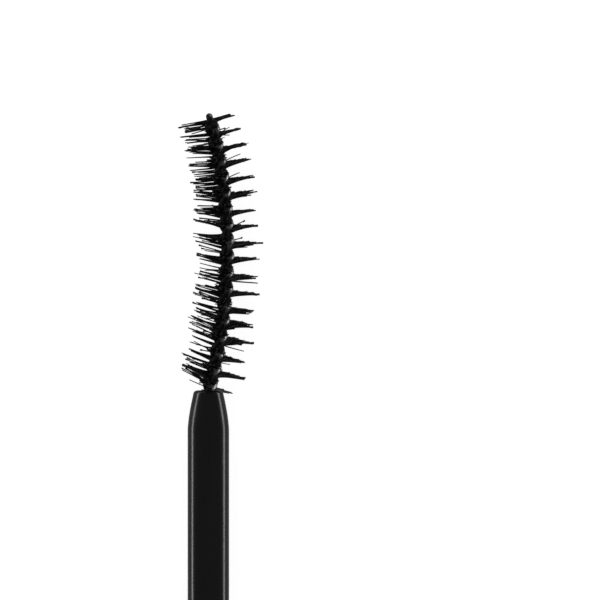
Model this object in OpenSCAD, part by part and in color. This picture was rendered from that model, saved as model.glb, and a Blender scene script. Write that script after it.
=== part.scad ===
// Opened mascara: a wand with a curved twisted-wire brush, and the tube that it screws onto.
// It lies on a table along Y. The wand's brush points to +Y and curves out to +X,
// and the tube lies beyond the brush, with its mouth facing it.

/* [Stem] */
// Diameter of the stem
stem_d = 4; // [3:0.1:5]
// Thickness of the stem across its two flats
stem_flats = 3.5; // [2.8:0.1:4]
// Length of stem that shows between the cap and the brush
stem_len = 42; // [30:1:55]
// Diameter of the stem's tip
stem_tip_d = 2.9; // [2.4:0.1:3.2]
// Length of the taper at the stem's tip
stem_taper = 3.9; // [2:0.1:8]
// Length of the stem's root inside the cap
root_len = 10; // [8:0.5:12]

/* [Brush] */
// Length of the brush's chord, from the stem to the tip of the wire
brush_len = 27.2; // [22:0.1:34]
// How far the brush bows out of the line of the stem
brush_bow = 1.82; // [0.4:0.02:2]
// Diameter of the wire
wire_d = 0.68; // [0.5:0.02:0.76]
// Length along the brush of one half turn of the wire
half_turn = 1.56; // [1.2:0.02:2]
// Diameter of a bristle
bristle_d = 0.09; // [0.07:0.01:0.12]
// Distance along the wire from one bristle to the next
bristle_step = 0.13; // [0.13:0.01:0.3]
// Reach of the bristles from the wire on the outside of the curve
reach_out = 3.25; // [2.4:0.05:3.9]
// Reach of the bristles on the inside of the curve
reach_in = 2.95; // [2.4:0.05:3.9]
// Mean reach of the bristles to both sides of the curve
reach_side = 2.85; // [2.4:0.05:3.4]
// How much the reach to both sides swells and narrows along the brush
reach_wave = 0.45; // [0:0.05:0.6]

/* [Neck and thread] */
// Room between the stem and the wiper's sleeve, for the curved wire
wiper_room = 1.2; // [1.1:0.05:1.5]
// Wall of the wiper's sleeve
wiper_wall = 0.8; // [0.6:0.05:1]
// Thickness of the wiper's flange
wiper_flange = 0.7; // [0.5:0.05:1]
// Length of the wiper's sleeve
wiper_len = 10; // [8:0.5:12]
// Wall of the bottle's neck
neck_wall = 1.2; // [1:0.05:1.6]
// Height of the neck above the tube's shoulder
neck_len = 12; // [11.5:0.1:15]
// Pitch of the screw thread
thread_pitch = 2.5; // [2.3:0.05:2.7]
// Number of turns that close the cap
thread_turns = 1.5; // [1.5:0.5:1.5]
// Height of the thread's ridge
thread_depth = 0.7; // [0.5:0.05:0.8]
// Clearance between ridge and wall
thread_clear = 0.15; // [0.1:0.01:0.25]

/* [Cap] */
// Length of the cap
cap_len = 54; // [42:1:70]
// Wall of the inner cap's barrel
barrel_wall = 0.95; // [0.8:0.05:1.4]
// Thickness of the inner cap's floor
barrel_floor = 1.6; // [1.2:0.1:2.4]
// Wall of the socket around the stem's root
socket_wall = 1.6; // [1.2:0.1:2]
// Thickness of the sealing washer
seal_t = 0.8; // [0.5:0.1:1.2]
// Length of the weight
weight_len = 14; // [8:1:18]
// Thickness of the trim ring's visible band
trim_band = 1.2; // [0.8:0.1:2]
// Depth of the trim ring's sleeve inside the cap
trim_sleeve = 1.8; // [1:0.1:2]

/* [Tube] */
// Thickness of the tube's shoulder
shoulder_t = 1.5; // [1:0.1:2]
// Wall of the bottle
bottle_wall = 1; // [0.8:0.05:1.4]
// Thickness of the bottle's bottom
bottle_floor = 1.2; // [0.8:0.1:2]
// Room between the brush's tip and the bottle's bottom in the closed mascara
tip_room = 2.5; // [1:0.1:5]
// Air above the mascara below the neck
air_len = 9; // [6:0.5:14]
// Thickness of the neck's loose collar
collar_t = 2.1; // [1.4:0.1:2.6]
// Wall of the collar
collar_wall = 1.55; // [1:0.05:1.7]
// Length of the spacer ring
spacer_len = 4; // [2:0.5:8]

/* [Outer case] */
// Room between the round inner parts and the outer shells
case_gap = 0.9; // [0.6:0.05:2]
// Wall of the outer shells
shell_wall = 1.1; // [0.8:0.05:1.6]
// Radius of the case's long corners
corner_r = 5; // [3:0.25:6.5]
// Radius of the rounded edge at both ends
edge_r = 1.2; // [0.4:0.1:2]
// Thickness of the end pieces
end_t = 3; // [2.4:0.1:5]
// Depth of an end piece's spigot in its shell
spigot_len = 3; // [2:0.5:5]

/* [Fits and layout] */
// Gap between faces that close on each other
close_gap = 0.1; // [0.05:0.01:0.2]
// Gap between the closed cap and the tube's shoulder
shoulder_gap = 0.3; // [0.2:0.05:0.5]
// Radial clearance of a loose fit
loose_fit = 0.15; // [0.1:0.01:0.25]
// Distance on the table from the brush's tip to the tube's mouth
open_gap = 18; // [6:1:60]

/* [Hidden] */
$fn = 96;

// Radii, from the stem outwards
stem_r = stem_d / 2;
root_r = stem_r + 0.3;
socket_r = root_r + socket_wall;
orifice_r = stem_r + close_gap;
sleeve_bore_r = stem_r + wiper_room;
neck_bore_r = sleeve_bore_r + wiper_wall;
neck_r = neck_bore_r + neck_wall;
crest_r = neck_r + thread_depth;
barrel_bore_r = crest_r + thread_clear;
barrel_r = barrel_bore_r + barrel_wall;
cavity = 2 * (barrel_r + case_gap);
case_w = cavity + 2 * shell_wall;
cavity_corner_r = corner_r - shell_wall;
shoulder_bore_r = crest_r + loose_fit;
bottle_r = barrel_r;
bottle_bore_r = bottle_r - bottle_wall;
collar_bore_r = neck_r + loose_fit;
collar_r = collar_bore_r + collar_wall;
trim_bore_r = collar_r + 2 * loose_fit;
bead_r = collar_bore_r + 0.3;

// Places along the wand, from the cap's closed end towards the brush
mouth = cap_len;
lip = mouth + shoulder_gap - neck_len;
seal_face = lip - close_gap;
floor_face = seal_face - seal_t;
floor_back = floor_face - barrel_floor;
barrel_mouth = mouth - trim_band - trim_sleeve - close_gap;
root_end = floor_face - root_len;
socket_end = root_end - socket_wall;
stem_end = mouth + stem_len;
wire_depth = 7;

// Places along the closed tube, on the same line
shoulder = mouth + shoulder_gap;
shoulder_back = shoulder + shoulder_t;
bead_len = 0.7;
bead_end = shoulder - collar_t - 2 * close_gap;
wire_tip = stem_end + brush_len;
bottle_bottom = wire_tip + tip_room;
bottle_end = bottle_bottom + bottle_floor;
tube_end = bottle_end + spigot_len;
tube_back = tube_end + end_t;
paste_top = shoulder_back + air_len + bottle_wall;

// The screw and the pull that open the mascara
advance = thread_turns * thread_pitch;
pull = wire_tip + open_gap - lip - advance;
rest_len = tube_back + pull + advance;

// Thread: both ridges, as seated, are half a pitch apart
ridge_root = thread_pitch * 0.52;
ridge_crest = thread_pitch * 0.24;
ridge_sides = 30;
male_start = lip + wiper_flange + 0.5 + ridge_root / 2;
male_end = bead_end - bead_len - ridge_root / 2 - 0.2;
female_end = male_start + advance - ridge_root;
female_start = seal_face + 0.2 + ridge_root / 2;
male_phase = 0;
female_phase = 180;

// The bowed centre line of the brush, measured from the stem's tip
bow_r = (brush_len * brush_len / 4 + brush_bow * brush_bow) / (2 * brush_bow);
helix_r = wire_d / 2 + bristle_d / 2 + 0.015;
loop_r = helix_r + wire_d / 2;
top = brush_len - loop_r;
ring_step = half_turn / 6;
wire_sides = 8;

function tilt(z) = z < 0 ? 0 : asin((z - brush_len / 2) / bow_r);
function bow(z) = z < 0 ? 0 : bow_r * cos(tilt(z)) - bow_r + brush_bow;
function across(z) = [cos(tilt(z)), 0, sin(tilt(z))];
function core(z) = [bow(z), 0, z];
// The wire's loop stands across the bow, and the strands turn right-handed below it
function turn_at(z) = 90 + 180 * (z - top) / half_turn;
function outward(z, a) = cos(a) * across(z) + [0, sin(a), 0];
function sideways(z, a) = -sin(a) * across(z) + [0, cos(a), 0];
function unit(v) = v / norm(v);

function strand(z, side) = core(z) + side * helix_r * outward(z, turn_at(z));
rings = ceil((top + wire_depth) / ring_step);
function height(i) = -wire_depth + i * (top + wire_depth) / rings;
loop_rings = 6;
wire_path = concat(
    [for (i = [0:rings]) strand(height(i), 1)],
    [for (j = [1:loop_rings - 1])
        let (s = 180 * j / loop_rings)
        core(top) + helix_r * cos(s) * outward(top, turn_at(top))
        + helix_r * sin(s) * [-sin(tilt(top)), 0, cos(tilt(top))]],
    [for (i = [rings:-1:0]) strand(height(i), -1)]);
wire_side = concat(
    [for (i = [0:rings]) sideways(height(i), turn_at(height(i)))],
    [for (j = [1:loop_rings - 1]) sideways(top, turn_at(top))],
    [for (i = [rings:-1:0]) sideways(height(i), turn_at(height(i)))]);

function heading(path, i) = unit(path[min(i + 1, len(path) - 1)] - path[max(i - 1, 0)]);
function square_to(v, t) = unit(v - (v * t) * t);

// How far a bristle reaches at height z in the direction a, 0 being the outside of the curve
function end_fade(z) = 1 - 0.2 * max(0, z - brush_len * 0.85) / (brush_len * 0.15);
function side_reach(z) = reach_side + reach_wave * cos(360 * (z / brush_len - 0.15) / 0.68);
function bow_reach(z, a) = cos(a) > 0 ? reach_out * end_fade(z) : reach_in;
function reach(z, a) = let (c = cos(a)) c * c * bow_reach(z, a) + (1 - c * c) * side_reach(z);

// Outline of the case, drawn square to its length
module case_outline(width, radius) {
    square([width - 2 * radius, width], center = true);
    square([width, width - 2 * radius], center = true);
    for (x = [-1, 1], y = [-1, 1])
        translate([x, y] * (width / 2 - radius))
            circle(radius);
}

module sleeve_blank(from, to, width, radius) {
    translate([0, 0, from])
        linear_extrude(to - from)
            case_outline(width, radius);
}

// Half of a profile with one rounded end, as deep as long
module rounded_end(half_w, length) {
    square([half_w, length - edge_r]);
    square([half_w - edge_r, length]);
    translate([half_w - edge_r, length - edge_r])
        circle(edge_r);
}

// Closed end of the case with its outer edge rounded, growing along +Z
module end_cover(length) {
    flat = case_w - 2 * corner_r;
    for (x = [-1, 1], y = [-1, 1])
        translate([x * flat / 2, y * flat / 2, 0])
            rotate_extrude()
                intersection() {
                    rounded_end(corner_r, length);
                    square([corner_r, length]);
                }
    for (quarter = [0, 90])
        rotate([0, 0, quarter])
            rotate([90, 0, 0])
                linear_extrude(flat, center = true)
                    for (side = [0, 1])
                        mirror([side, 0])
                            rounded_end(case_w / 2, length);
}

module ring(from, to, outer, inner) {
    translate([0, 0, from])
        difference() {
            cylinder(h = to - from, r = outer);
            translate([0, 0, -1])
                cylinder(h = to - from + 2, r = inner);
        }
}

// A helical ridge from one height to another, rooted at radius base and reaching radius tip
module ridge(from, to, phase, base, tip) {
    count = ceil((to - from) / thread_pitch * ridge_sides);
    fade = ridge_sides / 10;
    points = [for (i = [0:count])
        let (a = phase + 360 * (to - from) / thread_pitch * i / count,
             z = from + (to - from) * i / count,
             grow = min(1, (min(i, count - i) + 0.6) / fade),
             r = base + (tip - base) * grow)
        each [
            [base * cos(a), base * sin(a), z - ridge_root / 2],
            [r * cos(a), r * sin(a), z - ridge_crest / 2],
            [r * cos(a), r * sin(a), z + ridge_crest / 2],
            [base * cos(a), base * sin(a), z + ridge_root / 2]]];
    walls = [for (i = [0:count - 1], k = [0:3])
        let (a = 4 * i + k, b = 4 * i + (k + 1) % 4)
        each tip > base ? [[a, b, a + 4], [b, b + 4, a + 4]] : [[a, a + 4, b], [b, a + 4, b + 4]]];
    first = [0, 1, 2, 3];
    last = [for (k = [3:-1:0]) 4 * count + k];
    ends = tip > base ? [[0, 3, 2, 1], [for (k = [0:3]) 4 * count + k]] : [first, last];
    polyhedron(points = points, faces = concat(walls, ends), convexity = 6);
}

// Phase that puts a ridge in its place in the screw, whatever height it starts at
function phase_at(z, phase) = phase + 360 * z / thread_pitch;

module stem_flatten(from, to) {
    translate([-stem_d, -stem_flats / 2, from])
        cube([2 * stem_d, stem_flats, to - from]);
}

module stem() {
    wire_bore_r = helix_r + wire_d / 2 + 0.02;
    soft = 0.4;
    color("#18181b")
        difference() {
            union() {
                translate([0, 0, root_end])
                    cylinder(h = root_len + seal_t, r = root_r);
                intersection() {
                    rotate_extrude() {
                        translate([0, floor_face])
                            square([stem_r, stem_end - stem_taper - floor_face]);
                        polygon([
                            [0, stem_end - stem_taper],
                            [stem_r, stem_end - stem_taper],
                            [stem_tip_d / 2, stem_end - soft],
                            [0, stem_end - soft]]);
                        intersection() {
                            translate([stem_tip_d / 2 - soft, stem_end - soft])
                                circle(soft);
                            translate([0, stem_end - soft])
                                square([stem_tip_d, soft]);
                        }
                        translate([0, stem_end - soft])
                            square([stem_tip_d / 2 - soft, soft]);
                    }
                    stem_flatten(floor_face, stem_end);
                }
            }
            translate([0, 0, stem_end - wire_depth - 0.5])
                cylinder(h = wire_depth + 1, r = wire_bore_r);
            translate([0, 0, stem_end - 0.5])
                cylinder(h = 0.6, r1 = wire_bore_r, r2 = wire_bore_r + 0.25);
        }
}

module brush_wire() {
    last = len(wire_path) - 1;
    points = [for (i = [0:last])
        let (t = heading(wire_path, i), b = square_to(wire_side[i], t), n = cross(b, t))
        for (k = [0:wire_sides - 1])
            let (a = 360 * (k + 0.5) / wire_sides)
            wire_path[i] + wire_d / 2 * (cos(a) * n + sin(a) * b)];
    walls = [for (i = [0:last - 1], k = [0:wire_sides - 1])
        let (a = wire_sides * i + k, b = wire_sides * i + (k + 1) % wire_sides)
        each [[a, a + wire_sides, b], [b, a + wire_sides, b + wire_sides]]];
    first = [for (k = [0:wire_sides - 1]) k];
    final = [for (k = [wire_sides - 1:-1:0]) wire_sides * last + k];
    color("#5a5457")
        translate([0, 0, stem_end])
            polyhedron(points = points, faces = concat(walls, [first, final]), convexity = 10);
}

// Each bristle passes between the strands and stands out on both sides
module bristles() {
    count = floor((top - 0.3) / bristle_step);
    color("#0c0c0d")
        translate([0, 0, stem_end])
            for (i = [0:count]) {
                z = top - i * bristle_step;
                a = turn_at(z) + 90;
                translate(core(z))
                    rotate([0, -tilt(z), 0])
                        rotate([0, 0, a])
                            translate([-reach(z, a + 180), 0, 0])
                                rotate([0, 90, 0])
                                    cylinder(h = reach(z, a) + reach(z, a + 180), d = bristle_d, $fn = 5);
            }
}

module inner_cap() {
    rib_w = 1.6;
    color("#d8d8d6")
        union() {
            ring(barrel_mouth - 9, barrel_mouth, barrel_r, barrel_bore_r);
            ring(floor_face, barrel_mouth - 8.99, barrel_r, barrel_bore_r);
            ring(floor_back, floor_face, barrel_r, root_r);
            ring(root_end, floor_back, socket_r, root_r);
            translate([0, 0, socket_end])
                cylinder(h = root_end - socket_end, r = socket_r);
            for (quarter = [0:90:270])
                rotate([0, 0, quarter])
                    translate([barrel_r - 0.2, -rib_w / 2, floor_back])
                        cube([case_gap + 0.2, rib_w, barrel_mouth - 1 - floor_back]);
            ridge(female_start, female_end, phase_at(female_start, female_phase),
                  barrel_bore_r + 0.1, barrel_bore_r - thread_depth);
        }
}

module cap_seal() {
    color("#efeee8")
        ring(floor_face, seal_face, barrel_bore_r - close_gap, root_r + 0.01);
}

module cap_weight() {
    color("#9a9da0")
        ring(floor_back - weight_len, floor_back, barrel_r, socket_r + close_gap);
}

module cap_shell() {
    color("#101012")
        difference() {
            sleeve_blank(end_t, mouth - trim_band, case_w, corner_r);
            sleeve_blank(end_t - 1, mouth, cavity, cavity_corner_r);
        }
}

module cap_end() {
    color("#101012")
        union() {
            translate([0, 0, end_t])
                mirror([0, 0, 1])
                    end_cover(end_t);
            difference() {
                sleeve_blank(end_t, end_t + spigot_len, cavity, cavity_corner_r);
                translate([0, 0, end_t])
                    cylinder(h = spigot_len + 1, r = cavity / 2 - 1.5);
            }
        }
}

module cap_trim_ring() {
    color("#b9bcc2")
        difference() {
            union() {
                sleeve_blank(mouth - trim_band, mouth, case_w, corner_r);
                sleeve_blank(mouth - trim_band - trim_sleeve, mouth - trim_band, cavity, cavity_corner_r);
            }
            translate([0, 0, mouth - trim_band - trim_sleeve - 1])
                cylinder(h = trim_band + trim_sleeve + 2, r = trim_bore_r);
        }
}

module mascara_paste() {
    relief = advance + close_gap;
    color("#060606")
        translate([0, 0, paste_top])
            cylinder(h = bottle_bottom - relief - paste_top, r = bottle_bore_r - close_gap);
}

module neck_collar() {
    color("#b9bcc2")
        ring(shoulder - collar_t - close_gap, shoulder - close_gap, collar_r, collar_bore_r);
}

module bottle() {
    color("#2a2a2d")
        union() {
            ring(lip + wiper_flange, shoulder, neck_r, neck_bore_r);
            ring(bead_end - bead_len, bead_end, bead_r, neck_bore_r);
            ridge(male_start, male_end, phase_at(male_start, male_phase), neck_r - 0.1, crest_r);
            ring(shoulder, shoulder_back, shoulder_bore_r, neck_bore_r);
            ring(shoulder_back, shoulder_back + bottle_wall, bottle_r, neck_bore_r);
            ring(shoulder_back + bottle_wall, bottle_bottom, bottle_r, bottle_bore_r);
            translate([0, 0, bottle_bottom])
                cylinder(h = bottle_floor, r = bottle_r);
        }
}

module wiper() {
    taper = 3;
    color("#d0cfca")
        translate([0, 0, lip])
            rotate_extrude()
                polygon([
                    [sleeve_bore_r, 0],
                    [neck_r, 0],
                    [neck_r, wiper_flange],
                    [neck_bore_r, wiper_flange],
                    [neck_bore_r, wiper_len - taper],
                    [orifice_r + wiper_wall, wiper_len],
                    [orifice_r, wiper_len],
                    [sleeve_bore_r, wiper_len - taper]]);
}

module tube_shell() {
    color("#101012")
        difference() {
            sleeve_blank(shoulder, tube_end, case_w, corner_r);
            sleeve_blank(shoulder_back, tube_end + 1, cavity, cavity_corner_r);
            translate([0, 0, shoulder - 1])
                cylinder(h = shoulder_t + 2, r = shoulder_bore_r);
        }
}

module bottle_spacer() {
    color("#8d8f92")
        difference() {
            sleeve_blank(bottle_end - spacer_len, bottle_end, cavity, cavity_corner_r);
            translate([0, 0, bottle_end - spacer_len - 1])
                cylinder(h = spacer_len + 2, r = bottle_r);
        }
}

module base_plug() {
    color("#101012")
        union() {
            translate([0, 0, tube_end])
                end_cover(end_t);
            sleeve_blank(bottle_end, tube_end, cavity, cavity_corner_r);
        }
}

// Lays the wand's line down on the table, along Y
module on_table() {
    translate([0, -rest_len / 2, case_w / 2])
        rotate([-90, 0, 0])
            children();
}

// Screws the tube off the cap and draws it away
module opened() {
    translate([0, 0, pull + advance])
        rotate([0, 0, 360 * thread_turns])
            children();
}

on_table() stem();
on_table() brush_wire();
on_table() bristles();
on_table() inner_cap();
on_table() cap_seal();
on_table() cap_weight();
on_table() cap_shell();
on_table() cap_end();
on_table() cap_trim_ring();
on_table() opened() mascara_paste();
on_table() opened() neck_collar();
on_table() opened() bottle();
on_table() opened() wiper();
on_table() opened() tube_shell();
on_table() opened() bottle_spacer();
on_table() opened() base_plug();
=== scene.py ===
"""Looks of an opened mascara: a wand with a curved twisted-wire brush, and the tube that it screws onto.

The wand lies along Y with its brush towards +Y, and the brush bows out towards +X.
"""

import math

import bpy
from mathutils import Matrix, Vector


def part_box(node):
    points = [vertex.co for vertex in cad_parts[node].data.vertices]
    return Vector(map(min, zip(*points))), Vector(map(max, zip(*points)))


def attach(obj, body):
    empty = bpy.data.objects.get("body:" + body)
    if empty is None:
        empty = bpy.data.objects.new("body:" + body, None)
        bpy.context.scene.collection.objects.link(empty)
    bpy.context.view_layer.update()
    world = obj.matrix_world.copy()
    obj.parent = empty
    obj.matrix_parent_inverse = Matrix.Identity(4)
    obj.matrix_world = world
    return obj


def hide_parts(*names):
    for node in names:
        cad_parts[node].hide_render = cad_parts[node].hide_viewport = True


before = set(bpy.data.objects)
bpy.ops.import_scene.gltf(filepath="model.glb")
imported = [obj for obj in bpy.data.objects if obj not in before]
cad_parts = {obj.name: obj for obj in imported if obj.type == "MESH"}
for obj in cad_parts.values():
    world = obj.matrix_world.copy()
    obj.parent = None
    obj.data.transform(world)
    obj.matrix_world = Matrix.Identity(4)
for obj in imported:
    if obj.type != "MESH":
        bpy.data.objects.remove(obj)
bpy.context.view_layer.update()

MM = 0.001

# ---------------------------------------------------------------- sizes, in metres

STEM_LOW, STEM_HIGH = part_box("stem")
WIRE_LOW, WIRE_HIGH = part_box("brush_wire")
CASE_LOW, CASE_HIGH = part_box("cap_shell")
AXIS_Z = (CASE_LOW.z + CASE_HIGH.z) / 2
CASE_W = CASE_HIGH.z - CASE_LOW.z
SHELL_WALL = 1.1 * MM
CORNER_R = 5 * MM
EDGE_R = 1.2 * MM

STEM_TIP = STEM_HIGH.y
BRUSH_LEN = WIRE_HIGH.y - STEM_TIP
BRUSH_BOW = 1.82 * MM
BOW_R = (BRUSH_LEN**2 / 4 + BRUSH_BOW**2) / (2 * BRUSH_BOW)
HALF_TURN = 1.56 * MM
WIRE_R = 0.34 * MM
HELIX_R = 0.4 * MM
BRUSH_TOP = BRUSH_LEN - HELIX_R - WIRE_R
WIRE_ROOT = STEM_TIP - WIRE_LOW.y


# ---------------------------------------------------------------- node trees


class Field:
    """One output of a node, which sums and products can be written with."""

    def __init__(self, tree, socket):
        self.tree = tree
        self.socket = socket

    def math(self, operation, *others):
        values = dict(enumerate((self, *others)))
        return self.tree.field("ShaderNodeMath", {"operation": operation}, values)

    def __add__(self, other):
        return self.math("ADD", other)

    def __radd__(self, other):
        return self.math("ADD", other)

    def __sub__(self, other):
        return self.math("SUBTRACT", other)

    def __rsub__(self, other):
        return self.tree.value(other).math("SUBTRACT", self)

    def __mul__(self, other):
        return self.math("MULTIPLY", other)

    def __rmul__(self, other):
        return self.math("MULTIPLY", other)

    def __truediv__(self, other):
        return self.math("DIVIDE", other)

    def __pow__(self, other):
        return self.math("POWER", other)

    def __neg__(self):
        return self.math("MULTIPLY", -1.0)


class Tree:
    """A shader or geometry node tree, built from expressions."""

    def __init__(self, tree):
        self.tree = tree

    def node(self, kind, settings=None, inputs=None):
        """A node of any type: its settings are set first, then its sockets take values or links."""
        made = self.tree.nodes.new(kind)
        for name, value in (settings or {}).items():
            setattr(made, name, value)
        for key, value in (inputs or {}).items():
            if isinstance(value, Field):
                self.tree.links.new(value.socket, made.inputs[key])
            else:
                made.inputs[key].default_value = value
        return made

    def field(self, kind, settings=None, inputs=None, output=0):
        return Field(self, self.node(kind, settings, inputs).outputs[output])

    def value(self, number):
        return self.field("ShaderNodeMath", {"operation": "ADD"}, {0: number, 1: 0.0})

    def smooth(self, field, low, high):
        """0 where the field is under low, 1 over high, and a soft step between."""
        settings = {"interpolation_type": "SMOOTHSTEP"}
        return self.field("ShaderNodeMapRange", settings, {"Value": field, "From Min": low, "From Max": high})

    def vector(self, x, y, z):
        return self.field("ShaderNodeCombineXYZ", None, {0: x, 1: y, 2: z})

    def vectors(self, operation, *values, output=0):
        return self.field("ShaderNodeVectorMath", {"operation": operation}, dict(enumerate(values)), output)

    def scaled(self, vector, factor):
        return self.field("ShaderNodeVectorMath", {"operation": "SCALE"}, {0: vector, "Scale": factor})

    def added(self, *vectors):
        total = vectors[0]
        for vector in vectors[1:]:
            total = self.vectors("ADD", total, vector)
        return total

    def mixed(self, factor, a, b):
        """Colour a where the factor is 0, colour b where it is 1."""
        a, b = [(*c, 1.0) if isinstance(c, tuple) else c for c in (a, b)]
        settings = {"data_type": "RGBA"}
        return self.field("ShaderNodeMix", settings, {"Factor": factor, 6: a, 7: b}, output=2)


class Geometry(Tree):
    """A geometry node tree whose sizes are named inputs."""

    def __init__(self, name):
        super().__init__(bpy.data.node_groups.new(name, "GeometryNodeTree"))
        self.tree.interface.new_socket("Geometry", in_out="OUTPUT", socket_type="NodeSocketGeometry")
        self.entry = self.tree.nodes.new("NodeGroupInput")
        self.values = {}

    def size(self, name, value, kind="NodeSocketFloat"):
        """A named input of the tree, with the value that the modifier gives it."""
        socket = self.tree.interface.new_socket(name, in_out="INPUT", socket_type=kind)
        self.values[socket.identifier] = value
        return Field(self, self.entry.outputs[name])

    def random(self, low, high, identity, seed):
        inputs = {2: low, 3: high, 7: identity, 8: seed}
        return self.field("FunctionNodeRandomValue", {"data_type": "FLOAT"}, inputs, output=1)

    def store(self, geometry, name, value, kind="FLOAT_VECTOR"):
        settings = {"data_type": kind, "domain": "POINT"}
        inputs = {"Geometry": geometry, "Name": name, "Value": value}
        return self.field("GeometryNodeStoreNamedAttribute", settings, inputs)

    def stored(self, name, kind="FLOAT_VECTOR"):
        return self.field("GeometryNodeInputNamedAttribute", {"data_type": kind}, {"Name": name})

    def finish(self, geometry, material):
        """Ends the tree, and turns what it makes into a plain mesh object."""
        real = self.field("GeometryNodeRealizeInstances", None, {0: geometry})
        dressed = self.field("GeometryNodeSetMaterial", None, {"Geometry": real, "Material": material})
        leave = self.tree.nodes.new("NodeGroupOutput")
        self.tree.links.new(dressed.socket, leave.inputs[0])
        carrier = new_object(self.tree.name, bpy.data.meshes.new(self.tree.name))
        modifier = carrier.modifiers.new("build", "NODES")
        modifier.node_group = self.tree
        for identifier, value in self.values.items():
            modifier[identifier] = value
        graph = bpy.context.evaluated_depsgraph_get()
        mesh = bpy.data.meshes.new_from_object(carrier.evaluated_get(graph))
        carrier.modifiers.remove(modifier)
        carrier.data = mesh
        return carrier


def new_object(name, mesh):
    made = bpy.data.objects.new(name, mesh)
    bpy.context.scene.collection.objects.link(made)
    return made


# ---------------------------------------------------------------- materials


def shader(name, **sockets):
    """A material with one Principled shader, its constant sockets set, and its tree to build on."""
    material = bpy.data.materials.new(name)
    material.use_nodes = True
    tree = Tree(material.node_tree)
    surface = material.node_tree.nodes["Principled BSDF"]
    for socket, value in sockets.items():
        surface.inputs[socket.replace("_", " ")].default_value = value
    place = tree.field("ShaderNodeTexCoord", output=3)
    return material, tree, surface, place


def feed(tree, surface, **fields):
    for socket, field in fields.items():
        tree.tree.links.new(field.socket, surface.inputs[socket.replace("_", " ")])


def noise(tree, place, scale, detail=3.0, roughness=0.5):
    inputs = {"Vector": place, "Scale": scale, "Detail": detail, "Roughness": roughness}
    return tree.field("ShaderNodeTexNoise", None, inputs)


def stretched(tree, place, x, y, z):
    return tree.vectors("MULTIPLY", place, (x, y, z))


def bump(tree, height, distance, strength=1.0):
    inputs = {"Strength": strength, "Distance": distance, "Height": height}
    return tree.field("ShaderNodeBump", None, inputs)


def specks(tree, place, scale, size):
    """1 on small round specks scattered over the surface, 0 elsewhere."""
    settings = {"feature": "F1"}
    inputs = {"Vector": place, "Scale": scale, "Randomness": 1.0}
    near = tree.field("ShaderNodeTexVoronoi", settings, inputs)
    patchy = noise(tree, place, scale / 5, 1.0)
    return (1 - tree.smooth(near, size * 0.5, size)) * tree.smooth(patchy, 0.52, 0.6)


def satin_stem():
    """Moulded black plastic with a satin face, faint flow marks along its length, and a little dust."""
    material, tree, surface, place = shader("satin_black_stem", Metallic=0.0, IOR=1.46)
    flow = noise(tree, stretched(tree, place, 900, 60, 900), 1.0, 4.0)
    grain = noise(tree, place, 9000, 2.0)
    dust = specks(tree, place, 1500, 0.055)
    black = tree.mixed(flow, (0.0052, 0.0052, 0.0060), (0.0080, 0.0080, 0.0092))
    feed(
        tree, surface,
        Base_Color=tree.mixed(dust * 0.5, black, (0.08, 0.08, 0.085)),
        Roughness=0.15 + 0.08 * flow + 0.04 * grain + 0.4 * dust,
        Normal=bump(tree, flow * 0.6 + grain * 0.25, 0.003 * MM),
    )
    return material


def bristle_nylon():
    """Black nylon filament, duller where a film of mascara has dried on it."""
    material, tree, surface, place = shader("black_nylon_filament", Metallic=0.0, IOR=1.5)
    film = tree.smooth(noise(tree, place, 2600, 3.0), 0.4, 0.65)
    fine = noise(tree, place, 16000, 2.0)
    feed(
        tree, surface,
        Base_Color=tree.mixed(film, (0.003, 0.003, 0.0034), (0.0075, 0.0068, 0.0066)),
        Roughness=0.38 + 0.25 * film + 0.08 * fine,
        Normal=bump(tree, fine + film * 0.5, 0.006 * MM),
    )
    return material


def drawn_wire():
    """Drawn steel wire, bare only along the outside of its curve near the brush's middle plane; elsewhere
    dark, partly with dried mascara and partly with painted shade where the bristles cover its faces above and
    below.
    """
    material, tree, surface, place = shader("drawn_steel_wire", IOR=1.35)
    lines = noise(tree, stretched(tree, place, 6000, 900, 6000), 1.0, 4.0, 0.6)
    sides = tree.node("ShaderNodeSeparateXYZ", None, {0: place})
    from_middle = (Field(tree, sides.outputs[2]) - AXIS_Z).math("ABSOLUTE")
    patches = noise(tree, place, 1500, 4.0, 0.6)
    along = Field(tree, sides.outputs[1]) - (STEM_TIP + BRUSH_LEN / 2)
    line = (BOW_R**2 - along**2) ** 0.5 - (BOW_R - BRUSH_BOW)
    outside = tree.smooth((Field(tree, sides.outputs[0]) - line) * (1 / MM) + patches * 0.5, 0.15, 0.5)
    # Painted shade: the faces above and below the middle plane are made dark, standing in for the shade of
    # the bristles over them; the same dark mask also stands for dried mascara.
    middle = 1 - tree.smooth(patches * 0.6 + from_middle * (0.9 / MM), 0.72, 0.95)
    residue_and_painted_shade = 1 - outside * middle
    bright = tree.mixed(lines, (0.30, 0.27, 0.27), (0.48, 0.44, 0.44))
    feed(
        tree, surface,
        Base_Color=tree.mixed(residue_and_painted_shade, bright, (0.005, 0.0045, 0.0045)),
        Metallic=1 - residue_and_painted_shade,
        Roughness=0.34 + 0.12 * lines + 0.4 * residue_and_painted_shade,
        Normal=bump(tree, lines + residue_and_painted_shade * 0.6, 0.006 * MM),
    )
    return material


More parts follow.
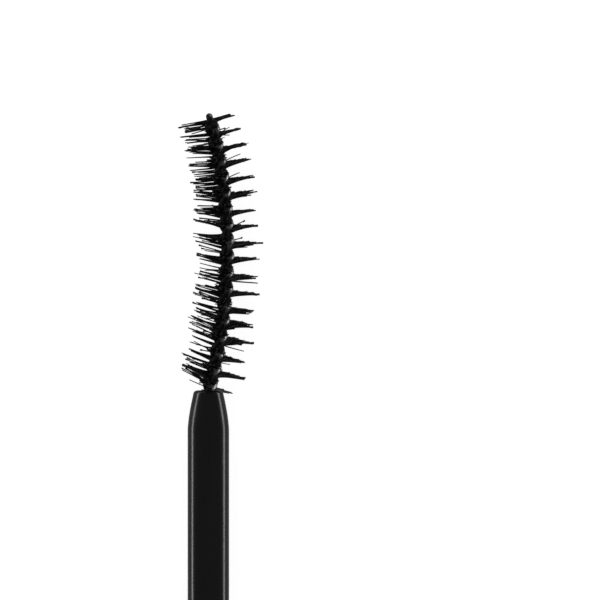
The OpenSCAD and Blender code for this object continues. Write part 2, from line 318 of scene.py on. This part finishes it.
def gloss_case():
    """Polished black case: hairline wear, a few specks of dust, and a faint ripple from moulding."""
    material, tree, surface, place = shader("gloss_black_case", Metallic=0.0, IOR=1.48, Coat_IOR=1.5)
    ripple = noise(tree, place, 260, 2.0)
    hair = noise(tree, stretched(tree, place, 5200, 180, 5200), 1.0, 5.0, 0.7)
    scuff = tree.smooth(hair, 0.6, 0.78) * tree.smooth(noise(tree, place, 120, 2.0), 0.42, 0.7)
    dust = specks(tree, place, 700, 0.05)
    feed(
        tree, surface,
        Base_Color=tree.mixed(dust * 0.6 + scuff * 0.15, (0.0045, 0.0045, 0.005), (0.12, 0.12, 0.125)),
        Roughness=0.13 + 0.05 * ripple + 0.22 * scuff + 0.4 * dust,
        Coat_Weight=0.6 - 0.4 * scuff,
        Normal=bump(tree, ripple * 2 + scuff * 0.3, 0.004 * MM),
    )
    return material


def brushed_trim():
    """Anodised aluminium, brushed around the axis."""
    material, tree, surface, place = shader("brushed_trim", Metallic=1.0)
    lines = noise(tree, stretched(tree, place, 160, 16000, 160), 1.0, 5.0, 0.65)
    cloud = noise(tree, place, 500, 3.0)
    feed(
        tree, surface,
        Base_Color=tree.mixed(lines * 0.7 + cloud * 0.3, (0.42, 0.43, 0.45), (0.66, 0.67, 0.69)),
        Roughness=0.22 + 0.16 * lines + 0.06 * cloud,
        Normal=bump(tree, lines, 0.008 * MM),
    )
    return material


def moulded(name, dark, light, roughness, scale=900, depth=0.01):
    """Plain moulded plastic or rubber with a fine spark-eroded grain and a little colour drift."""
    material, tree, surface, place = shader(name, Metallic=0.0, IOR=1.48)
    cloud = noise(tree, place, scale / 4, 3.0)
    grain = noise(tree, place, scale * 8, 2.0)
    feed(
        tree, surface,
        Base_Color=tree.mixed(cloud, dark, light),
        Roughness=roughness + 0.08 * (grain - 0.5) + 0.06 * cloud,
        Normal=bump(tree, grain + cloud, depth * MM),
    )
    return material


def turned_steel():
    material, tree, surface, place = shader("turned_steel", Metallic=1.0)
    lines = noise(tree, stretched(tree, place, 100, 9000, 100), 1.0, 4.0)
    feed(
        tree, surface,
        Base_Color=tree.mixed(lines, (0.28, 0.28, 0.29), (0.46, 0.46, 0.47)),
        Roughness=0.3 + 0.15 * lines,
        Normal=bump(tree, lines, 0.01 * MM),
    )
    return material


def wet_paste():
    material, tree, surface, place = shader("wet_mascara", Metallic=0.0, IOR=1.42, Coat_IOR=1.45)
    lumps = noise(tree, place, 900, 4.0, 0.6)
    feed(
        tree, surface,
        Base_Color=tree.mixed(lumps, (0.002, 0.002, 0.002), (0.006, 0.0055, 0.005)),
        Roughness=0.18 + 0.2 * lumps,
        Coat_Weight=0.9 - 0.3 * lumps,
        Normal=bump(tree, lumps, 0.08 * MM),
    )
    return material


STEM_PLASTIC = satin_stem()
NYLON = bristle_nylon()
STEEL_WIRE = drawn_wire()
CASE_PLASTIC = gloss_case()
TRIM = brushed_trim()
LINER = moulded("natural_liner", (0.50, 0.50, 0.47), (0.60, 0.60, 0.57), 0.42)
SEAL = moulded("foam_seal", (0.62, 0.61, 0.57), (0.74, 0.73, 0.69), 0.7, 2500, 0.03)
WIPER = moulded("soft_wiper", (0.50, 0.49, 0.46), (0.62, 0.61, 0.58), 0.35)
BOTTLE = moulded("dark_bottle", (0.010, 0.010, 0.011), (0.018, 0.018, 0.020), 0.3)
STEEL = turned_steel()
PASTE = wet_paste()


# ---------------------------------------------------------------- the brush


def brush_line(tree, height, length, bow_radius, bow):
    """A point of the brush's centre line, with its outward and its forward direction there."""
    lean = ((height - length / 2) / bow_radius).math("ARCSINE")
    x = bow_radius * lean.math("COSINE") - bow_radius + bow
    bowed = height.math("GREATER_THAN", 0.0)
    lean = lean * bowed
    centre = tree.vector(x * bowed, height + STEM_TIP, AXIS_Z)
    outward = tree.vector(lean.math("COSINE"), lean.math("SINE"), 0.0)
    forward = tree.vector(-lean.math("SINE"), lean.math("COSINE"), 0.0)
    return centre, outward, forward


def around(tree, outward, angle):
    """The direction at an angle round the brush, 0 being the outside of the curve."""
    return tree.added(tree.scaled(outward, angle.math("COSINE")), tree.vector(0.0, 0.0, -angle.math("SINE")))


def brush_sizes(tree):
    """The inputs that the wire and the bristles share."""
    return (
        tree.size("Brush length", BRUSH_LEN),
        tree.size("Bow radius", BOW_R),
        tree.size("Bow", BRUSH_BOW),
        tree.size("Half turn", HALF_TURN),
        tree.size("Top of the twist", BRUSH_TOP),
    )


def build_wire():
    """One wire bent into a U and twisted: up one strand, over the loop, and down the other."""
    tree = Geometry("twisted_wire")
    length, bow_radius, bow, half_turn, top = brush_sizes(tree)
    root = tree.size("Depth in the stem", WIRE_ROOT)
    helix = tree.size("Radius of the twist", HELIX_R)
    thick = tree.size("Radius of the wire", WIRE_R)
    rings = tree.size("Rings on a strand", 420, "NodeSocketInt")
    bend = tree.size("Rings in the loop", 14, "NodeSocketInt")

    count = rings * 2 + bend
    path = tree.field("GeometryNodeMeshLine", {"mode": "OFFSET"}, {"Count": count})
    index = tree.field("GeometryNodeInputIndex")
    up = (index / rings).math("MINIMUM", 1.0)
    down = ((index - rings - bend) / rings).math("MAXIMUM", 0.0)
    height = (up - down) * (top + root) - root
    over = ((index - rings) / bend).math("MINIMUM", 1.0).math("MAXIMUM", 0.0) * math.pi
    turn = (height - top) / half_turn * math.pi + math.pi / 2
    centre, outward, forward = brush_line(tree, height, length, bow_radius, bow)
    place = tree.added(
        centre,
        tree.scaled(around(tree, outward, turn), over.math("COSINE") * helix),
        tree.scaled(forward, over.math("SINE") * helix),
    )
    moved = tree.field("GeometryNodeSetPosition", None, {"Geometry": path, "Position": place})
    curve = tree.field("GeometryNodeMeshToCurve", None, {"Mesh": moved})
    outline = tree.field("GeometryNodeCurvePrimitiveCircle", None, {"Resolution": 16, "Radius": thick})
    inputs = {"Curve": curve, "Profile Curve": outline, "Fill Caps": True}
    swept = tree.field("GeometryNodeCurveToMesh", None, inputs)
    smooth = tree.field("GeometryNodeSetShadeSmooth", None, {"Geometry": swept})
    return tree.finish(smooth, STEEL_WIRE)


def build_bristles(name, side):
    """The filament ends on one side of the wire, which wind round it in a spiral.

    On the outside of the curve they gather into one row of pointed tufts for each turn.
    On the inside only some are long, and these stand apart.
    """
    tree = Geometry(name)
    length, bow_radius, bow, half_turn, top = brush_sizes(tree)
    filaments = tree.size("Filament ends", 3600, "NodeSocketInt")
    which_side = tree.size("Side of the wire", side, "NodeSocketInt")
    reach_out = tree.size("Reach outside the curve", 3.58 * MM)
    reach_in = tree.size("Reach inside the curve", 3.18 * MM)
    reach_side = tree.size("Reach to the sides", 2.85 * MM)
    wave = tree.size("Swell of the sides", 0.45 * MM)
    thick = tree.size("Filament radius", 0.05 * MM)
    locks = tree.size("Locks inside, to a row", 4.0)
    gather_out = tree.size("Gathering outside", 0.88)
    gather_side = tree.size("Gathering at the sides", 0.75)
    sweep_out = tree.size("Sweep of the tufts", 0.42 * MM)
    sweep_in = tree.size("Sweep of the inside", 0.7 * MM)
    seed = tree.size("Seed", 11 + 100 * side, "NodeSocketInt")

    index = tree.field("GeometryNodeInputIndex")

    def chance(low, high, salt, identity=index):
        return tree.random(low, high, identity, seed + salt)

    # where each filament leaves the wire, and which way it points
    share = (index + 0.5 + chance(-0.4, 0.4, 1)) / filaments
    height = top + 0.12 * MM - share * (top - 0.13 * MM)
    turn = (height - top) / half_turn * math.pi + math.pi / 2
    angle = turn + math.pi / 2 + which_side * math.pi + chance(-0.09, 0.09, 2)
    centre, outward, forward = brush_line(tree, height, length, bow_radius, bow)
    facing = angle.math("COSINE")
    is_out = tree.smooth(facing, 0.12, 0.55)
    is_in = tree.smooth(-facing, 0.1, 0.5)
    is_side = 1 - is_out - is_in
    aim = tree.added(around(tree, outward, angle), tree.scaled(outward, is_in * -2.5))
    aim = tree.vectors("NORMALIZE", aim)
    aside = tree.vectors("CROSS_PRODUCT", aim, forward)

    # the row that it belongs to, and the tip within the row that it joins
    turns = (height - top) / half_turn
    row = (turns + 0.5).math("FLOOR")
    from_row = (turns - row) * half_turn
    from_side_row = (turns - turns.math("FLOOR") - 0.5) * half_turn
    row_name = row + 300
    tip = (chance(0.0, 1.0, 3) ** 1.3 * 3).math("FLOOR")
    tip_name = row * 5 + tip + 200
    first_tip = tip.math("LESS_THAN", 0.5)
    lock = ((from_row / half_turn + 0.5) * locks + chance(-0.12, 0.12, 26)).math("FLOOR")
    to_lock = ((lock + 0.5) / locks - 0.5) * half_turn - from_row
    half = chance(0.0, 1.0, 27).math("GREATER_THAN", 0.5)
    lock_name = row * 7 + lock + 400
    half_name = lock_name * 2 + half

    # how long it is
    at_top = tree.smooth(height, length * 0.93, length * 0.97)
    is_long = chance(0.0, 1.0, 17).math("GREATER_THAN", 0.84 - 0.25 * at_top)
    tip_fade = 1 - 0.2 * tree.smooth(height, length * 0.84, length)
    side_length = reach_side + wave * ((height / length - 0.15) * (math.tau / 0.68)).math("COSINE")
    trimmed = is_out * reach_out * tip_fade + is_in * reach_in + is_side * side_length
    diagonal = 1 - 2 * is_out * (1 - is_out) - 2.2 * is_in * (1 - is_in) * (1 - is_long)
    row_cut = 1 - is_out * chance(0.0, 0.12, 6, row_name)
    tip_cut = 1 - is_out * chance(0.02, 0.24, 7, tip_name) * (1 - first_tip)
    pointed = 0.58 + 0.42 * chance(0.0, 1.0, 8) ** 2
    ragged = is_long * chance(0.8, 1.04, 18, half_name) * (1 - 0.26 * chance(0.0, 1.0, 19) ** 2)
    ragged = ragged + (1 - is_long) * chance(0.03, 0.18, 30)
    even = 1 - 0.3 * chance(0.0, 1.0, 20) ** 1.5
    reach = trimmed * diagonal * row_cut * tip_cut * (is_out * pointed + is_in * ragged + is_side * even)

    # how its end leans along the brush
    part = chance(0.2, 1.0, 21, row_name) * (0.3 * MM)
    tip_shift = chance(-1.0, 1.0, 9, tip_name) * part * (1 - 0.8 * first_tip)
    sweep = sweep_out * (1 - tree.smooth(height, length * 0.7, length))
    rise = sweep_in * (1 - 0.4 * tree.smooth(height, length * 0.5, length * 0.8)) * (1 - 0.5 * at_top)
    row_shift = chance(-0.14 * MM, 0.14 * MM, 22, row_name)
    outside = is_out * (tip_shift + sweep + row_shift - from_row * gather_out)
    lock_lean = chance(-0.36 * MM, 0.36 * MM, 24, lock_name) + chance(-0.26 * MM, 0.26 * MM, 28, half_name)
    inside = is_in * (to_lock + lock_lean)
    beside = is_side * (chance(-0.34 * MM, 0.34 * MM, 10) - from_side_row * gather_side)
    loose = chance(0.0, 1.0, 5).math("GREATER_THAN", 0.992)
    stray = chance(-0.06 * MM, 0.06 * MM, 12) * (1 - is_in * 0.5) + loose * chance(-0.7 * MM, 0.7 * MM, 13)
    lean = outside + inside + beside + stray
    half_sway = (half * 2 - 1) * chance(0.1 * MM, 1.1 * MM, 29, half_name)
    freedom = 1 - is_out * 0.7 + is_side * 0.3 - is_in * 0.7
    sway = chance(-0.3 * MM, 0.3 * MM, 14) * freedom + is_in * half_sway
    heavy = is_out * (first_tip * 0.3 + 0.15) + is_side * 0.3 + is_in * is_long * 0.25
    width = thick * (chance(0.75, 1.15, 15) + heavy)

    points = tree.field("GeometryNodeMeshLine", {"mode": "OFFSET"}, {"Count": filaments})
    points = tree.store(points, "root", centre)
    risen = tree.scaled(forward, is_in * rise * reach / reach_in)
    points = tree.store(points, "aim", tree.added(tree.scaled(aim, reach), risen))
    points = tree.store(points, "lean", tree.scaled(forward, lean))
    points = tree.store(points, "sway", tree.scaled(aside, sway))
    points = tree.store(points, "wide", tree.scaled(forward, width))
    points = tree.store(points, "deep", tree.scaled(aside, width))
    points = tree.store(points, "bead", chance(0.0, 1.0, 16).math("GREATER_THAN", 0.8), "FLOAT")
    points = tree.store(points, "early", 1 - 0.45 * is_out - 0.55 * is_in, "FLOAT")

    # one filament is a thin closed rod, a unit long
    settings = {"fill_type": "NGON"}
    inputs = {"Vertices": 4, "Side Segments": 6, "Radius Top": 1.0, "Radius Bottom": 1.0, "Depth": 1.0}
    rod = tree.field("GeometryNodeMeshCone", settings, inputs)
    rod = tree.store(rod, "along", tree.field("GeometryNodeInputPosition"))
    inputs = {"Points": points, "Instance": rod}
    placed = tree.field("GeometryNodeInstanceOnPoints", None, inputs)
    real = tree.field("GeometryNodeRealizeInstances", None, {0: placed})

    along = tree.node("ShaderNodeSeparateXYZ", None, {0: tree.stored("along")})
    across, back, step = [Field(tree, along.outputs[i]) for i in range(3)]
    step = step.math("MAXIMUM", 0.0).math("MINIMUM", 1.0)
    ending = tree.smooth(step, 0.84, 1.0)
    width = 1.05 - 0.3 * step + 0.75 * ending * tree.stored("bead", "FLOAT")
    place = tree.added(
        tree.stored("root"),
        tree.scaled(tree.stored("aim"), 0.05 + 0.95 * step),
        tree.scaled(tree.stored("lean"), step ** tree.stored("early", "FLOAT")),
        tree.scaled(tree.stored("sway"), step ** 1.7),
        tree.scaled(tree.stored("wide"), across * width),
        tree.scaled(tree.stored("deep"), back * width),
    )
    shaped = tree.field("GeometryNodeSetPosition", None, {"Geometry": real, "Position": place})
    smooth = tree.field("GeometryNodeSetShadeSmooth", None, {"Geometry": shaped})
    for name in ("root", "aim", "lean", "sway", "wide", "deep", "bead", "early", "along"):
        smooth = tree.field("GeometryNodeRemoveAttribute", None, {"Geometry": smooth, "Name": name})
    return tree.finish(smooth, NYLON)


wire = build_wire()
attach(wire, "wand")
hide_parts("brush_wire")

for side, name in enumerate(("bristle_spiral_one", "bristle_spiral_two")):
    bristles = build_bristles(name, side)
    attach(bristles, "wand")
    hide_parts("bristles")


# ---------------------------------------------------------------- lofted shells


def outline(half_x, half_z, power=2.0, count=96):
    """A closed ring of (x, z) points, an ellipse for power 2 and squarer above."""
    ring = []
    for i in range(count):
        a = math.tau * (i + 0.5) / count
        c, s = math.cos(a), math.sin(a)
        x = half_x * math.copysign(abs(c) ** (2 / power), c)
        z = half_z * math.copysign(abs(s) ** (2 / power), s)
        ring.append((x, z))
    return ring


def case_outline(width, radius, per_corner=10, per_side=14):
    """The case's outline: a square with round corners, as a closed ring of (x, z) points."""
    radius = max(radius, 0.01 * MM)
    middle = width / 2 - radius
    ring = []
    for corner in range(4):
        start = math.pi / 2 * corner
        cx = middle * math.copysign(1, math.cos(start + math.pi / 4))
        cz = middle * math.copysign(1, math.sin(start + math.pi / 4))
        for i in range(per_corner + 1):
            a = start + math.pi / 2 * i / per_corner
            ring.append((cx + radius * math.cos(a), cz + radius * math.sin(a)))
        last = ring[-1]
        side_angle = start + math.pi / 2
        for i in range(1, per_side):
            step = 2 * middle * i / per_side
            ring.append((last[0] - step * math.sin(side_angle), last[1] + step * math.cos(side_angle)))
    return ring


def round_outline(radius, like):
    """A circle whose points face those of another ring."""
    return [(radius * x / math.hypot(x, z), radius * z / math.hypot(x, z)) for x, z in like]


def loft(name, sections, material, body, replaced, looped=False, sharp=38):
    """A skin over sections, each a place along Y and a ring of (x, z) points round the axis.

    The ends are closed, or with looped the last section joins the first.
    """
    count = len(sections[0][1])
    points = [(x, y, AXIS_Z + z) for y, ring in sections for x, z in ring]
    faces = []
    pairs = list(zip(range(len(sections) - 1), range(1, len(sections))))
    if looped:
        pairs.append((len(sections) - 1, 0))
    for low, high in pairs:
        for i in range(count):
            j = (i + 1) % count
            faces.append((low * count + i, high * count + i, high * count + j, low * count + j))
    if not looped:
        faces.append(tuple(range(count)))
        last = (len(sections) - 1) * count
        faces.append(tuple(last + i for i in reversed(range(count))))
    mesh = bpy.data.meshes.new(name)
    mesh.from_pydata(points, [], faces)
    mesh.shade_smooth()
    mesh.set_sharp_from_angle(angle=math.radians(sharp))
    mesh.materials.append(material)
    piece = new_object(name, mesh)
    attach(piece, body)
    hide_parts(replaced)
    return piece


def edge_sections(y, width, radius, edge, towards, steps=6):
    """Sections that round a case's outer edge at y, the rounding growing towards +1 or -1 along Y."""
    sections = []
    for i in range(steps + 1):
        a = math.pi / 2 * i / steps
        inset = edge * (1 - math.sin(a))
        place = y + towards * edge * (1 - math.cos(a))
        sections.append((place, case_outline(width - 2 * inset, radius - inset)))
    return sections


def build_stem():
    """The stem: a rod with two soft flats, tapering to a round tip that the wire enters."""
    root_end = STEM_LOW.y
    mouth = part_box("cap_trim_ring")[1].y
    wide, thin, tip = 2.03 * MM, 1.75 * MM, 1.49 * MM
    taper, soft, hole = 3.9 * MM, 0.4 * MM, 0.78 * MM
    start = STEM_TIP - taper
    root = outline(2.25 * MM, 2.25 * MM)
    sections = [(root_end, root), (mouth - 13.2 * MM, root), (mouth - 13.1 * MM, outline(wide, thin, 2.25))]
    rod_start, rod_end = mouth - 13 * MM, start - 0.1 * MM
    for i in range(24):
        sections.append((rod_start + (rod_end - rod_start) * i / 23, outline(wide, thin, 2.25)))
    for i in range(16):
        share = i / 15
        eased = share**1.5
        power = 2.25 - 0.25 * share
        place = start + (taper - soft) * share
        sections.append((place, outline(wide + (tip - wide) * eased, thin + (tip - thin) * eased, power)))
    for i in range(1, 7):
        a = math.pi / 2 * i / 6
        inset = soft * (1 - math.cos(a))
        sections.append((STEM_TIP - soft + soft * math.sin(a), outline(tip - inset, tip - inset)))
    sections.append((STEM_TIP, outline(hole + 0.12 * MM, hole + 0.12 * MM)))
    sections.append((STEM_TIP - 0.15 * MM, outline(hole, hole)))
    sections.append((STEM_TIP - 4 * MM, outline(hole, hole)))
    return loft("stem_rod", sections, STEM_PLASTIC, "wand", "stem", sharp=50)


def build_case():
    """The outer shells, their ends and the metal trim, each a little rounded where it meets the next."""
    cavity = CASE_W - 2 * SHELL_WALL
    inner_r = CORNER_R - SHELL_WALL
    seam = 0.12 * MM
    bores = {"cap_trim_ring": 7.2 * MM, "tube_shell": 6.05 * MM}

    low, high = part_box("cap_shell")
    sections = edge_sections(low.y, CASE_W, CORNER_R, seam, 1, 3)
    sections += reversed(edge_sections(high.y, CASE_W, CORNER_R, seam, -1, 3))
    sections += [(high.y, case_outline(cavity, inner_r)), (low.y, case_outline(cavity, inner_r))]
    loft("cap_sleeve", sections, CASE_PLASTIC, "wand", "cap_shell", looped=True)

    for node, piece, body, shell, towards in (
        ("cap_end", "cap_end_piece", "wand", "cap_shell", 1),
        ("base_plug", "tube_end_piece", "tube", "tube_shell", -1),
    ):
        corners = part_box(node)
        face = corners[0].y if towards == 1 else corners[1].y
        back = corners[1].y if towards == 1 else corners[0].y
        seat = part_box(shell)[0].y if towards == 1 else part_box(shell)[1].y
        sections = edge_sections(face, CASE_W, CORNER_R, EDGE_R, towards, 8)
        sections += reversed(edge_sections(seat, CASE_W, CORNER_R, seam, -towards, 3))
        sections += [(seat, case_outline(cavity, inner_r)), (back, case_outline(cavity, inner_r))]
        if towards == -1:
            sections.reverse()
        loft(piece, sections, CASE_PLASTIC, body, node)

    low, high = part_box("cap_trim_ring")
    sleeve_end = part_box("cap_shell")[1].y
    bore = round_outline(bores["cap_trim_ring"], case_outline(cavity, inner_r))
    wide_bore = round_outline(bores["cap_trim_ring"] + 0.2 * MM, case_outline(cavity, inner_r))
    sections = [(low.y, case_outline(cavity, inner_r)), (sleeve_end, case_outline(cavity, inner_r))]
    sections += edge_sections(sleeve_end, CASE_W, CORNER_R, seam, 1, 3)
    sections += reversed(edge_sections(high.y, CASE_W, CORNER_R, 0.25 * MM, -1, 5))
    sections += [(high.y, wide_bore), (high.y - 0.2 * MM, bore), (low.y, bore)]
    loft("mouth_trim", sections, TRIM, "wand", "cap_trim_ring", looped=True)

    low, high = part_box("tube_shell")
    shoulder_t = 1.5 * MM
    hole = round_outline(bores["tube_shell"], case_outline(cavity, inner_r))
    sections = [(low.y + shoulder_t, hole), (low.y, hole)]
    sections += edge_sections(low.y, CASE_W, CORNER_R, 0.35 * MM, 1, 6)
    sections += reversed(edge_sections(high.y, CASE_W, CORNER_R, seam, -1, 3))
    sections += [(high.y, case_outline(cavity, inner_r)), (low.y + shoulder_t, case_outline(cavity, inner_r))]
    loft("tube_sleeve", sections, CASE_PLASTIC, "tube", "tube_shell", looped=True)


def build_collar():
    """The loose metal ring on the neck, with a turned groove and chamfered edges."""
    low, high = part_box("neck_collar")
    outer = (high.x - low.x) / 2
    inner = 5.35 * MM
    chamfer, groove = 0.22 * MM, 0.12 * MM
    middle = (low.y + high.y) / 2
    profile = [
        (low.y, inner + chamfer), (low.y, outer - chamfer), (low.y + chamfer, outer),
        (middle - 2 * groove, outer), (middle - groove, outer - groove), (middle + groove, outer - groove),
        (middle + 2 * groove, outer), (high.y - chamfer, outer), (high.y, outer - chamfer),
        (high.y, inner + chamfer), (high.y - chamfer, inner), (low.y + chamfer, inner),
    ]
    sections = [(y, outline(r, r, count=128)) for y, r in profile]
    loft("turned_collar", sections, TRIM, "collar", "neck_collar", looped=True, sharp=30)


def build_paste():
    """The filling, with a hollow that the brush has left in its surface."""
    low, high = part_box("mascara_paste")
    radius = (high.x - low.x) / 2
    sections = [(high.y, outline(radius * 0.93, radius * 0.93, count=64)),
                (high.y - 0.4 * MM, outline(radius, radius, count=64))]
    sections.append((low.y + 1.2 * MM, outline(radius, radius, count=64)))
    for i in range(10):
        share = i / 9
        angles = [math.tau * (k + 0.5) / 64 for k in range(64)]
        wobble = [1 + 0.035 * math.sin(3 * a + 5 * share) for a in angles]
        size = radius * (0.99 - 0.72 * share)
        ring = [(x * w, z * w) for (x, z), w in zip(outline(size, size, count=64), wobble)]
        sections.append((low.y + (0.25 + 3.2 * share**2) * MM, ring))
    sections.reverse()
    loft("mascara_filling", sections, PASTE, "paste", "mascara_paste", sharp=60)


build_stem()
build_case()
build_collar()
build_paste()


# ---------------------------------------------------------------- the CAD pieces that stay


def dress(node, material):
    """Gives a CAD node its finish, and shades its round faces smooth."""
    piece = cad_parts[node]
    piece.data.materials.clear()
    piece.data.materials.append(material)
    piece.data.polygons.foreach_set("use_smooth", [True] * len(piece.data.polygons))
    weld = piece.modifiers.new("weld", "WELD")
    weld.merge_threshold = 0.0005 * MM
    split = piece.modifiers.new("split", "EDGE_SPLIT")
    split.split_angle = math.radians(32)


for node, material in (
    ("inner_cap", LINER), ("cap_seal", SEAL), ("cap_weight", STEEL), ("bottle", BOTTLE),
    ("wiper", WIPER), ("bottle_spacer", LINER),
):
    dress(node, material)


# ---------------------------------------------------------------- floor, light and camera


def build_stage():
    """A pale floor that glows a little, as on a light table."""
    size = 5.0
    mesh = bpy.data.meshes.new("table")
    corners = [(-size, -size, 0), (size, -size, 0), (size, size, 0), (-size, size, 0)]
    mesh.from_pydata(corners, [], [(0, 1, 2, 3)])
    material, *_ = shader(
        "pale_table", Base_Color=(0.8, 0.8, 0.8, 1), Roughness=0.9, Emission_Color=(1, 1, 1, 1),
        Emission_Strength=0.73, Specular_IOR_Level=0.0,
    )
    mesh.materials.append(material)
    floor = new_object("table", mesh)
    floor.visible_glossy = False


def build_world():
    """Pale at the horizon and dark overhead, so that the black parts keep their depth."""
    world = bpy.data.worlds.new("studio")
    bpy.context.scene.world = world
    world.use_nodes = True
    tree = Tree(world.node_tree)
    direction = tree.node("ShaderNodeSeparateXYZ", None, {0: tree.field("ShaderNodeTexCoord", output=0)})
    rise = Field(tree, direction.outputs[2])
    low = 1 - tree.smooth(rise.math("ABSOLUTE"), 0.0, 0.24)
    under = 1 - tree.smooth(rise, -0.2, 0.0)
    strength = 0.10 + 0.9 * low + 0.14 * under
    background = world.node_tree.nodes["Background"]
    world.node_tree.links.new(strength.socket, background.inputs["Strength"])
    background.inputs["Color"].default_value = (1, 1, 1, 1)


def area_light(name, place, target, width, height, power, glossy=True):
    lamp = bpy.data.lights.new(name, "AREA")
    lamp.shape = "RECTANGLE"
    lamp.size, lamp.size_y = width, height
    lamp.energy = power
    made = bpy.data.objects.new(name, lamp)
    bpy.context.scene.collection.objects.link(made)
    made.location = place
    direction = made.location - Vector(target)
    made.rotation_euler = direction.to_track_quat("Z", "Y").to_euler()
    made.visible_camera = False
    made.visible_glossy = glossy


def build_light():
    centre = (0.0, 0.0, AXIS_Z)
    area_light("overhead", (0.0, 0.0, 1.1), centre, 1.2, 1.2, 5.5, glossy=False)
    for side in (-1, 1):
        area_light(f"strip_{side + 1}", (side * 0.6, 0.0, 0.035), centre, 0.9, 0.09, 1.6)


def build_camera():
    """Straight above, with the brush in the upper left of the frame and the stem running out below."""
    view_width = 58.8 * MM
    distance = 0.5
    right_of_axis = 8.98 * MM
    below_tip = 18.33 * MM
    camera = bpy.data.cameras.new("camera")
    camera.lens = camera.sensor_width * distance / view_width
    made = bpy.data.objects.new("camera", camera)
    bpy.context.scene.collection.objects.link(made)
    made.location = (right_of_axis, WIRE_HIGH.y - below_tip, AXIS_Z + distance)
    camera.clip_start, camera.clip_end = 0.05, 20.0
    bpy.context.scene.camera = made


build_stage()
build_world()
build_light()
build_camera()
bpy.context.scene.view_settings.view_transform = "Standard"
